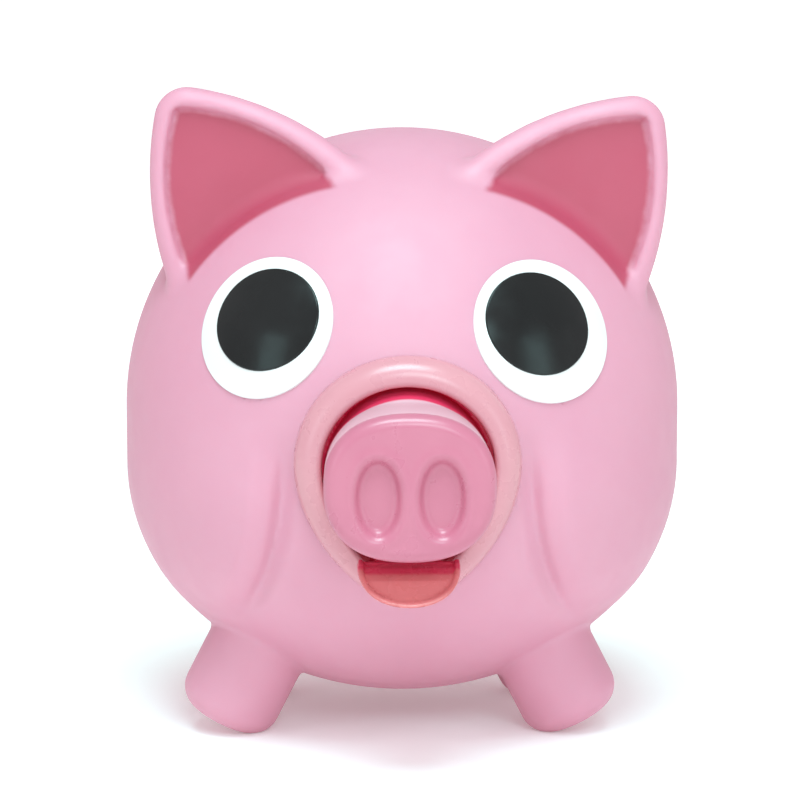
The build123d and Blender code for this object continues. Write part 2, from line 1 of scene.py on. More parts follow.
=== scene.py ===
"""Looks of the soft-vinyl piggy bank: smooth moulded skins over the CAD frame, finishes, light and camera."""

import json
from math import cos, radians, sin

import bpy
import numpy as np
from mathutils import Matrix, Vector


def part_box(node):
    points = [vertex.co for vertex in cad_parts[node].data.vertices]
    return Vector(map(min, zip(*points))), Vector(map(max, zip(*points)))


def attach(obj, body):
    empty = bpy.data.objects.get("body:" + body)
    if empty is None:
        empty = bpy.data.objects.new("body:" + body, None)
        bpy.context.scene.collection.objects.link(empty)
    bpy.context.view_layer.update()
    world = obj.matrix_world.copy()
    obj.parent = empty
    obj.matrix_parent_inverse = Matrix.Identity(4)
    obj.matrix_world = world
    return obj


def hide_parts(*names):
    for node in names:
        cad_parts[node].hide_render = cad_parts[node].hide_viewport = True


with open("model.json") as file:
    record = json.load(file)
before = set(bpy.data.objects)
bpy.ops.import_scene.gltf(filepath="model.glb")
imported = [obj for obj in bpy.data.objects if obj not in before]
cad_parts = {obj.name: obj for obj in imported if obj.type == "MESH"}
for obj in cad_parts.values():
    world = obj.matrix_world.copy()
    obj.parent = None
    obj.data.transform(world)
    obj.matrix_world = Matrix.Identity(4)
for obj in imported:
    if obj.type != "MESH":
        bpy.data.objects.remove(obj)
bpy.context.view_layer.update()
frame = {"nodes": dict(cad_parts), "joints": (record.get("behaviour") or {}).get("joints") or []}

MM = 0.001
HINGE_FROM_CENTRE = (0.0, -64.0, -4.0)  # where the snout's hinge lies from the body's centre, in mm
hinge = next(j for j in frame["joints"] if j["name"] == "snout_hinge")
CENTRE = np.array(hinge["pos_m"]) / MM - np.array(HINGE_FROM_CENTRE)

# ---- shapes as distance fields, in mm from the body's centre: x to the pig's left, y back, z up ----
CROWN, CROWN_AT = 70.0, 3.7
CORNER, CORNER_AT, BAND_LOW = 50.0, 20.0, -10.5
BELLY, BELLY_AT = 78.01, 9.11
FLOOR = -CENTRE[2]
WALL = 3.0


def unit(v):
    return np.asarray(v, float) / np.linalg.norm(v)


def soft_union(a, b, k):
    """The smaller of two distances, with a fillet about k wide where they meet."""
    h = np.clip(0.5 + 0.5 * (b - a) / k, 0, 1)
    return b + (a - b) * h - k * h * (1 - h)


def soft_cut(a, b, k):
    """Shape a less shape b, with the edge softened over k."""
    return -soft_union(-a, b, k)


def round_join(a, b, r):
    """What two shapes share, with the edge between them rounded to radius r."""
    outside = np.hypot(np.maximum(a + r, 0), np.maximum(b + r, 0))
    return outside + np.minimum(np.maximum(a, b) + r, 0) - r


def ramp(x, start, end):
    """0 before start, 1 after end, smooth between."""
    t = np.clip((x - start) / (end - start), 0, 1)
    return t * t * (3 - 2 * t)


def bump(x, middle, before, after):
    """A smooth hump of height 1, falling away over two different widths."""
    d = x - middle
    return np.exp(-((d / np.where(d < 0, before, after)) ** 2))


def axes_at(p, origin, across, up, out):
    """Coordinates of the points on three directions from an origin."""
    d = p - np.asarray(origin, float)
    return d @ unit(across), d @ unit(up), d @ unit(out)


def body(p):
    """The round body's smooth profile turned round its upright axis."""
    rho, z = np.hypot(p[:, 0], p[:, 1]), p[:, 2]
    crown = np.hypot(rho, z - CROWN_AT) - CROWN
    band = rho - CROWN
    corner = np.hypot(rho - CORNER_AT, z - BAND_LOW) - CORNER
    belly = np.hypot(rho, z - BELLY_AT) - BELLY
    on_belly = (BELLY_AT - z) * CORNER_AT > rho * (BELLY_AT - BAND_LOW)
    low = np.where(on_belly, belly, corner)
    return np.where(z > CROWN_AT, crown, np.where(z > BAND_LOW, band, low))


CREASE_AT, CREASE_BEND, CREASE_CURL = 29.2, 0.00286, 6.7e-5
CREASE_DEEP, CREASE_INNER, CREASE_OUTER = 2.1, 2.6, 2.2  # depth, and how far it fades on either side
CHEEK_PROUD, CHEEK_AT, CHEEK_INNER, CHEEK_OUTER = 2.5, 9, 5.5, 17  # the same, AT beyond the crease
CHEEK_TOP, CHEEK_END, CHEEK_DEEPEST = (-9, 12), (30, 47), 60  # where it starts and ends, going down
CHEEK_FROM = (8, 26)  # and going forwards


def cheeks(p):
    """How far the skin swells: cheeks that end in a soft crease on either side of the mouth."""
    down = -p[:, 2]
    t = np.clip(down, 0, CHEEK_DEEPEST)
    line = CREASE_AT + CREASE_BEND * t**2 + CREASE_CURL * t**3
    beside = np.abs(p[:, 0]) - line
    cheek = CHEEK_PROUD * bump(beside, CHEEK_AT, CHEEK_INNER, CHEEK_OUTER)
    crease = CREASE_DEEP * bump(beside, 0, CREASE_INNER, CREASE_OUTER)
    along = ramp(down, *CHEEK_TOP) * (1 - ramp(down, *CHEEK_END))
    return (cheek - crease) * along * ramp(-p[:, 1], *CHEEK_FROM)


EAR_ROOT = (35.7, -25.2, 50.0)
EAR_ALONG, EAR_UP, EAR_OUT = (0.788, 0.118, -0.605), (0.592, 0.126, 0.796), (0.17, -0.985, 0.03)
EAR_HALF, EAR_HIGH, EAR_BULGE, EAR_TIP = 28.0, 43.0, 4.2, 7.0
EAR_THICK, EAR_EDGE, EAR_SUNK = 9.0, 4.0, 12
DISH_HALF, DISH_HIGH, DISH_TIP, DISH_FLOOR = 21.6, 36.2, 2.0, 2.1
DISH_ROUND, DISH_LIP = 1.4, 2.2
EAR_LEAN = radians(1.2)


def leaf(a, b, half, high, bulge, tip):
    """Two arcs that spring from a root of width 2 half and meet in a rounded tip."""
    chord = np.hypot(half, high)
    radius = (chord**2 / 4 + bulge**2) / (2 * bulge)
    outward = np.array([high, half]) / chord
    cx, cy = np.array([half, high]) / 2 - (radius - bulge) * outward
    right = np.hypot(a - cx, b - cy) - radius
    left = np.hypot(a + cx, b - cy) - radius
    return round_join(right, left, tip)


def ear(p):
    """Both ears: thick round-edged leaves with a shallow dish in the front."""
    c, s = cos(EAR_LEAN), sin(EAR_LEAN)
    x, z = c * p[:, 0] - s * p[:, 2], s * p[:, 0] + c * p[:, 2]
    q = np.stack([np.abs(x), p[:, 1], z], 1)
    a, b, w = axes_at(q, EAR_ROOT, EAR_ALONG, EAR_UP, EAR_OUT)
    outline = leaf(a, b, EAR_HALF, EAR_HIGH, EAR_BULGE, EAR_TIP)
    plate = round_join(outline, np.abs(w) - EAR_THICK / 2, EAR_EDGE)
    dish = round_join(leaf(a, b, DISH_HALF, DISH_HIGH, EAR_BULGE, DISH_TIP), DISH_FLOOR - w, DISH_ROUND)
    return np.maximum(soft_cut(plate, dish, DISH_LIP), -EAR_SUNK - b)


LEG_FRONT, LEG_BACK = (46.0, -22.0, -73.2), (42.5, 22.0, -73.2)
LEG_SPLAY, LEG_RADIUS, LEG_ROUND, LEG_LONG = radians(27), 12.6, 6.5, 36.0
LEG_INWARD = 2.0  # the legs on the pig's left stand this much further in


def legs(p, inset=0.0):
    """Four splayed stubs with rounded soles."""
    q = np.stack([np.where(p[:, 0] > 0, p[:, 0] + LEG_INWARD, -p[:, 0]), p[:, 1], p[:, 2]], 1)
    out = (sin(LEG_SPLAY), 0, -cos(LEG_SPLAY))
    stubs = []
    for end in (LEG_FRONT, LEG_BACK):
        a, b, w = axes_at(q, end, (cos(LEG_SPLAY), 0, sin(LEG_SPLAY)), (0, 1, 0), out)
        stub = round_join(np.hypot(a, b) - LEG_RADIUS + inset, w + inset, max(LEG_ROUND - inset, 0.5))
        stubs.append(np.maximum(stub, -LEG_LONG - w))
    return np.minimum(*stubs)


TAIL_BACK, TAIL_RISE, TAIL_TURN, TAIL_THICK, TAIL_ROOT = 70.3, 4.0, 5.5, 2.3, 7


def tail(p):
    """A curl that lies flat on the back, thinner towards its free tip."""
    turn = np.radians(np.linspace(-70, 250, 40))
    x, z = TAIL_TURN * np.cos(turn), TAIL_TURN * np.sin(turn)
    root = TAIL_ROOT * np.linspace(0, 1, 6)[1:]
    x = np.concatenate([x, x[-1] - root * np.sin(turn[-1])])
    z = np.concatenate([z, z[-1] + root * np.cos(turn[-1])])
    thick = TAIL_THICK * np.minimum(1, 0.62 + 0.38 * np.linspace(0, 3, len(x)))
    near = np.full(len(p), 1e3)
    for i in range(len(x)):
        q = p - (-x[i], TAIL_BACK, TAIL_RISE + z[i])
        near = np.minimum(near, np.linalg.norm(q, axis=1) - thick[i])
    return near


EGG_RISE, EGG_ARM = -2.0, 0.45


def egg_outline(half, top, low, count=28):
    """Half of an egg shape, from the top down: a quarter ellipse, then a leaner Bezier."""
    turn = np.linspace(0, np.pi / 2, count)
    upper = np.stack([half * np.sin(turn), EGG_RISE + top * np.cos(turn)], 1)
    t = np.linspace(0, 1, count)[1:, None]
    corners = np.array([(half, 0), (half, -EGG_ARM * low), (EGG_ARM * half, -low), (0, -low)])
    weights = np.concatenate([(1 - t) ** 3, 3 * t * (1 - t) ** 2, 3 * t**2 * (1 - t), t**3], 1)
    return np.concatenate([upper, weights @ corners + (0, EGG_RISE)])


def inside_outline(x, z, line):
    """Distance from a shape that is the same on both sides of x = 0, given half of its outline."""
    x = np.abs(x)
    near = np.full(len(x), 1e9)
    side = np.full(len(x), 1.0)
    for (ax, az), (bx, bz) in zip(line[:-1], line[1:]):
        ex, ez = bx - ax, bz - az
        t = np.clip(((x - ax) * ex + (z - az) * ez) / (ex * ex + ez * ez), 0, 1)
        dx, dz = x - ax - t * ex, z - az - t * ez
        d = dx * dx + dz * dz
        closer = d < near
        near = np.where(closer, d, near)
        side = np.where(closer, np.sign(dx * ez * -1 + dz * ex), side)
    return np.sqrt(near) * side


EGG = egg_outline(27.0, 26.0, 33.4)
OPENING = egg_outline(20.4, 19.0, 27.4)
FINE_EGG, FINE_OPENING = egg_outline(27.0, 26.0, 33.4, 90), egg_outline(20.4, 19.0, 27.4, 90)
SEAT_REACH, SEAT_TUCK, HOLE_TUCK, HOLE_REACH = 61.0, 1.2, 2.5, 30
EYES = {-1: (34.5, 29.9), 1: (33.2, 29.0)}  # the pig's right and left eye: distance to the side, and height
EYE_RADIUS, EYE_SEAT, EYE_TUCK = 17.9, 3.0, 0.9
STOPPER_ANGLE, STOPPER_SEAT, STOPPER_CAP, STOPPER_BORE = radians(50), 2.6, 16.0, 12.6
STOPPER_ROOM, STOPPER_DEEP, STOPPER_EDGE = 0.2, 20, 0.6
BOSS_THICK, MOUTH_BOSS, EYE_BOSS, STOPPER_BOSS = 3.2, 3.5, 21, 3  # the vinyl left round each seat
SLOT_BACK, SLOT_LONG, SLOT_WIDE, SLOT_EDGE, SLOT_RISE, SLOT_DEEP = 32.0, 36.0, 5.0, 1.0, 66, 40


def box_field(p, middle, size):
    """Distance from a box that lies along the axes."""
    q = np.abs(p - middle) - np.asarray(size) / 2
    return np.linalg.norm(np.maximum(q, 0), axis=1) + np.minimum(q.max(1), 0)


def mouth_seat(p):
    """The pocket and the hole that the mouth's collar sits in."""
    outline = inside_outline(p[:, 0], p[:, 2], EGG)
    pocket = np.maximum(outline + SEAT_TUCK, p[:, 1] + SEAT_REACH)
    return np.minimum(pocket, np.maximum(outline + HOLE_TUCK, p[:, 1] + HOLE_REACH))


def eye_cut(p, radius, deep):
    """Round pockets square to the skin at both eyes."""
    pockets = []
    for side, (x, z) in EYES.items():
        out = np.array([side * x, 0, z - CROWN_AT])
        out[1] = -np.sqrt(CROWN**2 - out @ out)
        across = np.cross((0, 0, 1), out)
        a, b, w = axes_at(p, out + (0, 0, CROWN_AT), across, np.cross(out, across), out)
        pockets.append(np.maximum(np.hypot(a, b) - radius, -deep - w))
    return np.minimum(*pockets)


def stopper_frame():
    """The stopper's place on the skin, with directions across, up and out."""
    out = np.array([0, cos(STOPPER_ANGLE), -sin(STOPPER_ANGLE)])
    return np.array([0, CORNER_AT, BAND_LOW]) + CORNER * out, (1, 0, 0), np.cross(out, (1, 0, 0)), out


def stopper_cut(p):
    """The seat for the stopper's cap and the hole for its neck."""
    a, b, w = axes_at(p, *stopper_frame())
    rho = np.hypot(a, b)
    seat = np.maximum(rho - STOPPER_CAP - STOPPER_ROOM, -STOPPER_SEAT - w)
    return np.minimum(seat, np.maximum(rho - STOPPER_BORE, -STOPPER_DEEP - w))


def hollow(p, skin):
    """The space for the coins, with the vinyl left thick round the mouth, eyes and stopper."""
    space = skin + WALL
    mouth = np.maximum(inside_outline(p[:, 0], p[:, 2], EGG) - MOUTH_BOSS, p[:, 1] + SEAT_REACH - WALL)
    a, b, w = axes_at(p, *stopper_frame())
    boss = np.maximum(np.hypot(a, b) - STOPPER_CAP - STOPPER_BOSS, -STOPPER_SEAT - BOSS_THICK - w)
    for solid in (mouth, eye_cut(p, EYE_BOSS, EYE_SEAT + BOSS_THICK), boss):
        space = np.maximum(space, -solid)
    return np.minimum(space, legs(p, WALL))


def shell(p):
    """The whole moulding: body, cheeks, ears, legs and tail, hollow, with its seats and openings."""
    skin = body(p)
    d = skin - cheeks(p)
    for limb, fillet in ((ear, 3.0), (legs, 1.6), (tail, 0.9)):
        d = soft_union(d, limb(p), fillet)
    d = np.maximum(d, FLOOR - p[:, 2])
    d = np.maximum(d, -hollow(p, skin - cheeks(p)))
    d = np.maximum(d, -mouth_seat(p))
    d = np.maximum(d, -eye_cut(p, EYE_RADIUS - EYE_TUCK, EYE_SEAT))
    d = soft_cut(d, stopper_cut(p), STOPPER_EDGE)
    slot = box_field(p, (0, SLOT_BACK, SLOT_RISE), (SLOT_LONG, SLOT_WIDE, SLOT_DEEP))
    return soft_cut(d, slot, SLOT_EDGE)


# ---- from a distance field to a mesh ----
SLOPE_STEP, NORMAL_STEP = 0.06, 0.12  # how far apart the field is read for its slope, in mm
PULLS, PULL_LIMIT, LEAST_SLOPE = 3, 0.7, 0.2


def steepness(field, p, h):
    """The field's slope at the points."""
    g = np.empty_like(p)
    for axis in range(3):
        step = np.zeros(3)
        step[axis] = h
        g[:, axis] = (field(p + step) - field(p - step)) / (2 * h)
    return g


def skin_of(field, low, high, step):
    """Points and four-sided faces of the field's zero surface on a grid, pulled on to the true surface."""
    axes = [np.arange(low[i], high[i] + step, step) for i in range(3)]
    shape = tuple(len(a) for a in axes)
    value = np.empty(shape)
    for i, x in enumerate(axes[0]):
        y, z = np.meshgrid(axes[1], axes[2], indexing="ij")
        value[i] = field(np.stack([np.full(y.size, x), y.ravel(), z.ravel()], 1)).reshape(y.shape)
    corners = [(i, j, k) for i in (0, 1) for j in (0, 1) for k in (0, 1)]
    cells = tuple(n - 1 for n in shape)

    def at(array, c):
        return array[c[0] : c[0] + cells[0], c[1] : c[1] + cells[1], c[2] : c[2] + cells[2]]

    inside = value < 0
    count = sum(at(inside, c).astype(np.int8) for c in corners)
    mixed = (count > 0) & (count < 8)
    index = np.full(cells, -1)
    index[mixed] = np.arange(mixed.sum())
    total, crossings = np.zeros((mixed.sum(), 3)), np.zeros(mixed.sum())
    for c in corners:
        for axis in range(3):
            if c[axis]:
                continue
            e = tuple(1 if i == axis else c[i] for i in range(3))
            a, b = at(value, c)[mixed], at(value, e)[mixed]
            cut = (a < 0) != (b < 0)
            t = np.where(cut, a / np.where(cut, a - b, 1), 0)
            spot = np.tile(np.array(c, float), (len(a), 1))
            spot[:, axis] += t
            total += spot * cut[:, None]
            crossings += cut
    cell = np.argwhere(mixed)
    p = np.asarray(low) + step * (cell + total / crossings[:, None])
    home = p.copy()
    for _ in range(PULLS):
        g = steepness(field, p, SLOPE_STEP)
        p -= g * (field(p) / np.maximum((g * g).sum(1), LEAST_SLOPE))[:, None]
        p = np.clip(p, home - PULL_LIMIT * step, home + PULL_LIMIT * step)
    faces = []
    for axis in range(3):
        u, v = (axis + 1) % 3, (axis + 2) % 3
        span = [slice(1, n - 1) for n in shape]
        span[axis] = slice(0, shape[axis] - 1)
        span = tuple(span)
        ahead = tuple(slice(s.start + (i == axis), s.stop + (i == axis)) for i, s in enumerate(span))
        a, b = inside[span], inside[ahead]
        edge = np.argwhere(a != b) + [s.start for s in span]
        outward = a[a != b]
        quad = []
        for du, dv in ((0, 0), (1, 0), (1, 1), (0, 1)):
            c = edge.copy()
            c[:, u] -= du
            c[:, v] -= dv
            quad.append(index[c[:, 0], c[:, 1], c[:, 2]])
        quad = np.stack(quad, 1)
        quad[~outward] = quad[~outward][:, ::-1]
        faces.append(quad)
    return p, np.concatenate(faces)


def mesh_piece(name, field, low, high, step, keep_fine=None, fine_share=1.0):
    """A smooth piece from a distance field. Where keep_fine says no, the mesh is thinned out."""
    p, faces = skin_of(field, low, high, step)
    mesh = bpy.data.meshes.new(name)
    mesh.from_pydata(((p + CENTRE) * MM).tolist(), [], faces.tolist())
    piece = bpy.data.objects.new(name, mesh)
    bpy.context.scene.collection.objects.link(piece)
    if keep_fine is not None:
        coarse = ~keep_fine(p)
        group = piece.vertex_groups.new(name="coarse")
        group.add(np.flatnonzero(coarse).tolist(), 1.0, "REPLACE")
        thin = piece.modifiers.new("thin", "DECIMATE")
        thin.ratio = 1 - fine_share * coarse.mean()
        thin.vertex_group = "coarse"
        thin.vertex_group_factor = 10
        graph = bpy.context.evaluated_depsgraph_get()
        thinned = bpy.data.meshes.new_from_object(piece.evaluated_get(graph))
        piece.modifiers.clear()
        piece.vertex_groups.clear()
        piece.data = mesh = thinned
    v = np.empty(3 * len(mesh.vertices))
    mesh.vertices.foreach_get("co", v)
    normal = steepness(field, v.reshape(-1, 3) / MM - CENTRE, NORMAL_STEP)
    normal /= np.maximum(np.linalg.norm(normal, axis=1), 1e-6)[:, None]
    mesh.polygons.foreach_set("use_smooth", np.ones(len(mesh.polygons), bool))
    mesh.normals_split_custom_set_from_vertices(normal.tolist())
    print(name, len(mesh.vertices), "points", len(mesh.polygons), "faces")
    return piece


SKIN_DEEP, SKIN_OUT = 1.7, 1.0
SHELL_LOW, SHELL_HIGH, SHELL_STEP, INSIDE_THINNED = (-74, -74, FLOOR - 1.3), (74, 76, 91), 1.25, 0.9


def outer(p):
    """True on the outside skin, whose mesh stays fine."""
    leg = legs(p)
    return (body(p) - cheeks(p) > -SKIN_DEEP) | (ear(p) < SKIN_OUT) | ((leg > -1.5) & (leg < SKIN_OUT))


vinyl = mesh_piece("vinyl_skin", shell, SHELL_LOW, SHELL_HIGH, SHELL_STEP, outer, INSIDE_THINNED)
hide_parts("body_shell")
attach(vinyl, "root")


RING_FRONT, RING_ROUND, RING_BACK, LIP_ROUND = 72.4, 5.6, 6, 1.3
SLEEVE_IN, SLEEVE_REACH = 2.7, 52.0
HINGE_REACH, HINGE_RISE = 64.0, -4.0


def collar(p):
    """The mouth's collar: a thick egg-shaped ring with a rounded lip, and the sleeve behind it."""
    x, ahead, z = p[:, 0], -p[:, 1], p[:, 2]
    edge, hole = inside_outline(x, z, FINE_EGG), inside_outline(x, z, FINE_OPENING)
    front = np.maximum(round_join(edge, ahead - RING_FRONT, RING_ROUND), SEAT_REACH - ahead)
    sleeve = np.maximum(edge + SLEEVE_IN, np.maximum(ahead - RING_FRONT + RING_BACK, SLEEVE_REACH - ahead))
    return round_join(np.minimum(front, sleeve), -hole, LIP_ROUND)


BARREL_REAR, BARREL_FACE, BARREL_BLUNT = (19.7, 18.3), (20.0, 17.3), 0.35
BARREL_FROM, FACE_SEAT, SNOUT_FRONT = 62.0, 88.6, 92.6
BALL_HALF, BALL_RADIUS, BALL_REAR, SNOUT_WALL = 19.6, 20.4, 57.0, 1.8
BALL_FRONT = 76.0
THROAT = ((0, -64.5, -25), (26, 15, 30))


def blunt_oval(x, z, half, power):
    """About the distance from an oval that is blunter than an ellipse."""
    u, v = np.abs(x) / half[0], np.abs(z) / half[1]
    f = (u**power + v**power + 1e-9) ** (1 / power)
    slope = np.hypot(u ** (power - 1) / half[0], v ** (power - 1) / half[1]) / f ** (power - 1)
    return (f - 1) / np.maximum(slope, 0.02)


def ball(x, ahead, z, inset):
    """The ball that turns in the collar, centred on the hinge."""
    squash = (BALL_HALF - inset) / (BALL_RADIUS - inset)
    return np.sqrt((x / squash) ** 2 + (ahead - HINGE_REACH) ** 2 + z**2) - BALL_RADIUS + inset


def barrel_outside(x, ahead, z, inset):
    """The barrel's outside, or a shape inset from it: an oval tube that grows out of the ball."""
    t = np.clip((ahead - BARREL_FROM) / (FACE_SEAT - BARREL_FROM), 0, 1)
    half = [r + (f - r) * t - inset for r, f in zip(BARREL_REAR, BARREL_FACE)]
    tube = np.maximum(blunt_oval(x, z, half, 2 + BARREL_BLUNT * t), BARREL_FROM - ahead)
    return soft_union(tube, np.maximum(ball(x, ahead, z, inset), ahead - BALL_FRONT), 0.8)


def barrel(p):
    """The snout's barrel with the ball behind it, hollow, cut away below for the tongue's slider."""
    x, ahead, z = p[:, 0], -p[:, 1], p[:, 2] - HINGE_RISE
    wall = np.maximum(barrel_outside(x, ahead, z, 0), -barrel_outside(x, ahead, z, SNOUT_WALL))
    wall = np.maximum(wall, np.maximum(ahead - FACE_SEAT, BALL_REAR - ahead))
    return np.maximum(wall, -box_field(p, *map(np.array, THROAT)))


# A sheet of painted shade: it fills the dark gap between the collar and the ball with crimson
SHADE_SHEET_FROM, SHADE_SHEET_TO, SHADE_SHEET_GAP, SHADE_SHEET_BEDDED = 56.5, 66.5, 0.2, 1.5
SHADE_SHEET_LOW, SHADE_SHEET_FLOOR = -16.0, -26.4


def shade_sheet(p):
    """A crimson sheet of painted shade behind the collar's lip, close round the ball, and the mouth's floor
    below, standing for the shade in the gap.
    """
    x, ahead, z = p[:, 0], -p[:, 1], p[:, 2]
    hole = inside_outline(x, z, OPENING) - SHADE_SHEET_BEDDED
    slab = np.maximum(ahead - SHADE_SHEET_TO, SHADE_SHEET_FROM - ahead)
    clear = np.where(z > SHADE_SHEET_LOW, SHADE_SHEET_GAP - ball(x, ahead, z - HINGE_RISE, 0), z - SHADE_SHEET_FLOOR)
    return np.maximum(np.maximum(hole, slab), clear)


NOSTRIL, NOSTRIL_X, NOSTRIL_Z, NOSTRIL_DEEP, NOSTRIL_FLARE = (4.3, 8.0), 7.4, -2.2, 2.6, 0.42
NOSTRIL_TAPER, NOSTRIL_ROUND, NOSTRIL_LIP = 0.92, 1.2, 1.5
SWELL, SWELL_AT, SWELL_IN, SWELL_OUT = 0.28, 1.2, 1.0, 1.3  # the raised edge round each nostril
FACE_ROUND, FACE_POWER = 3.0, 2.35


def face(p):
    """The snout's front plate, rounded over at its edge, with two deep soft-lipped nostrils."""
    x, ahead, z = p[:, 0], -p[:, 1], p[:, 2] - HINGE_RISE
    plate = round_join(blunt_oval(x, z, BARREL_FACE, FACE_POWER), ahead - SNOUT_FRONT, FACE_ROUND)
    plate = np.maximum(plate, FACE_SEAT - ahead)
    u, v = np.abs(x) - NOSTRIL_X, z - NOSTRIL_Z
    above = ahead - (SNOUT_FRONT - NOSTRIL_DEEP)
    rim = blunt_oval(u, v, NOSTRIL, 2.0) - NOSTRIL_FLARE * above
    plate = plate - SWELL * bump(rim, SWELL_AT, SWELL_IN, SWELL_OUT)
    return soft_cut(plate, round_join(rim * NOSTRIL_TAPER, -above, NOSTRIL_ROUND), NOSTRIL_LIP)


TONGUE_HALF, TONGUE_FROM, TONGUE_POWER = 11.9, 74.0, 2.1
TONGUE_TOP, TONGUE_DROP = -24.4, 8.0  # where the U of its tip starts, and how far it hangs below that
# the underside, as reach and rise, and its slope at each of these places
TONGUE_LINE = ((57, -25.0), (73, -25.0), (78, -26.6), (82, -29.2), (85.4, -32.8), (91, -40.6))
TONGUE_SLOPE = (0, 0.12, 0.48, 0.85, 1.2, 1.4)
TONGUE_NECK, TONGUE_REAR, TONGUE_FLOOR, TONGUE_RIM, TONGUE_HIGH = 7.5, 57.5, 1.6, 1.2, 2.7
TONGUE_EDGE, TONGUE_JOIN, TONGUE_FILLET = 0.5, 1.5, 0.9


def spoon(p):
    """The tongue: a spoon that curls down into a U at its tip, with a thin raised rim."""
    x, ahead, z = p[:, 0], -p[:, 1], p[:, 2]
    reach, height = np.array(TONGUE_LINE).T
    w = (z - np.interp(ahead, reach, height)) / np.sqrt(1 + np.interp(ahead, reach, TONGUE_SLOPE) ** 2)
    blade = blunt_oval(x, np.minimum(z - TONGUE_TOP, 0), (TONGUE_HALF, TONGUE_DROP), TONGUE_POWER)
    blade = np.maximum(blade, TONGUE_FROM - ahead)
    neck = np.maximum(np.abs(x) - TONGUE_NECK, np.maximum(ahead - TONGUE_FROM - 2, TONGUE_REAR - ahead))
    plan = soft_union(blade, neck, TONGUE_JOIN)
    low = round_join(plan, np.abs(w - TONGUE_FLOOR / 2) - TONGUE_FLOOR / 2, TONGUE_EDGE)
    wall = np.maximum(np.abs(blade + TONGUE_RIM / 2) - TONGUE_RIM / 2, TONGUE_FROM + TONGUE_JOIN - ahead)
    rim = round_join(wall, np.abs(w - TONGUE_HIGH / 2) - TONGUE_HIGH / 2, TONGUE_EDGE)
    return soft_union(low, rim, TONGUE_FILLET)


def around(node, margin=3.0):
    """A node's box in mm from the body's centre, a little enlarged."""
    low, high = (np.array(v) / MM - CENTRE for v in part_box(node))
    return low - margin, high + margin


DETAILED = (
    ("collar_skin", "mouth_ring", "root", "collar_pink", collar, 0.7),
    ("barrel_skin", "snout_barrel", "snout", "snout_pale", barrel, 0.6),
    ("face_skin", "snout_face", "snout", "snout_deep", face, 0.45),
    ("tongue_skin", "tongue", "plunger", "tongue_peach", spoon, 0.45),
)
skins = {}
for name, node, rides, finish_slot, field, step in DETAILED:
    skins[node] = mesh_piece(name, field, *around(node), step)
    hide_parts(node)
    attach(skins[node], rides)

rim_low, rim_high = around("mouth_ring")
# The crimson sheet of painted shade in the collar's gap and the mouth below
mouth_shade_sheet = mesh_piece("mouth_shade_sheet", shade_sheet, rim_low, rim_high, 0.6)
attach(mouth_shade_sheet, "root")


# ---- finishes ----
def linear(*rgb):
    """A linear colour from an sRGB one in 0 to 255."""
    return tuple(((c / 255 + 0.055) / 1.055) ** 2.4 if c > 10 else c / 255 / 12.92 for c in rgb) + (1.0,)


class Finish:
    """A small node material built up from calls."""

    def __init__(self, name, **sockets):
        self.material = bpy.data.materials.new(name)
        self.material.use_nodes = True
        self.nodes, self.links = self.material.node_tree.nodes, self.material.node_tree.links
        self.shader = self.nodes["Principled BSDF"]
        for socket, value in sockets.items():
            self.shader.inputs[socket.replace("_", " ")].default_value = value
        self.place = self.nodes.new("ShaderNodeTexCoord").outputs["Object"]

    def link(self, a, b):
        self.links.new(a, b)

    def noise(self, scale, detail):
        node = self.nodes.new("ShaderNodeTexNoise")
        node.inputs["Scale"].default_value = scale
        node.inputs["Detail"].default_value = detail
        self.link(self.place, node.inputs["Vector"])
        return node.outputs["Fac"]

    def maths(self, operation, *values):
        node = self.nodes.new("ShaderNodeMath")
        node.operation = operation
        for slot, value in zip(node.inputs, values):
            if isinstance(value, (int, float)):
                slot.default_value = value
            else:
                self.link(value, slot)
        return node.outputs[0]

    def spread(self, value, low, high, new_low=0.0, new_high=1.0):
        node = self.nodes.new("ShaderNodeMapRange")
        node.interpolation_type = "SMOOTHSTEP"
        for slot, number in zip(node.inputs[1:5], (low, high, new_low, new_high)):
            slot.default_value = number
        self.link(value, node.inputs[0])
        return node.outputs[0]

    def along(self, origin, direction):
        """Distance in mm along a direction from an origin given from the body's centre."""
        shift = self.nodes.new("ShaderNodeVectorMath")
        shift.operation = "SUBTRACT"
        self.link(self.place, shift.inputs[0])
        shift.inputs[1].default_value = (CENTRE + origin) * MM
        dot = self.nodes.new("ShaderNodeVectorMath")
        dot.operation = "DOT_PRODUCT"
        self.link(shift.outputs[0], dot.inputs[0])
        dot.inputs[1].default_value = unit(direction) / MM
        return dot.outputs["Value"]

    def blend(self, mask, a, b):
        node = self.nodes.new("ShaderNodeMix")
        node.data_type = "RGBA"
        self.link(mask, node.inputs["Factor"])
        for slot, value in zip((node.inputs[6], node.inputs[7]), (a, b)):
            if isinstance(value, tuple):
                slot.default_value = value
            else:
                self.link(value, slot)
        return node.outputs[2]

    def colour(self, value):
        self.link(value, self.shader.inputs["Base Color"])

    def roughness(self, value):
        self.link(value, self.shader.inputs["Roughness"])

    def bump(self, height, distance):
        node = self.nodes.new("ShaderNodeBump")
        node.inputs["Strength"].default_value = 1.0
        node.inputs["Distance"].default_value = distance * MM
        self.link(height, node.inputs["Height"])
        self.link(node.outputs["Normal"], self.shader.inputs["Normal"])

    def on(self, *nodes):
        for node in nodes:
            target = frame["nodes"][node] if isinstance(node, str) else node
            target.data.materials.clear()
            target.data.materials.append(self.material)


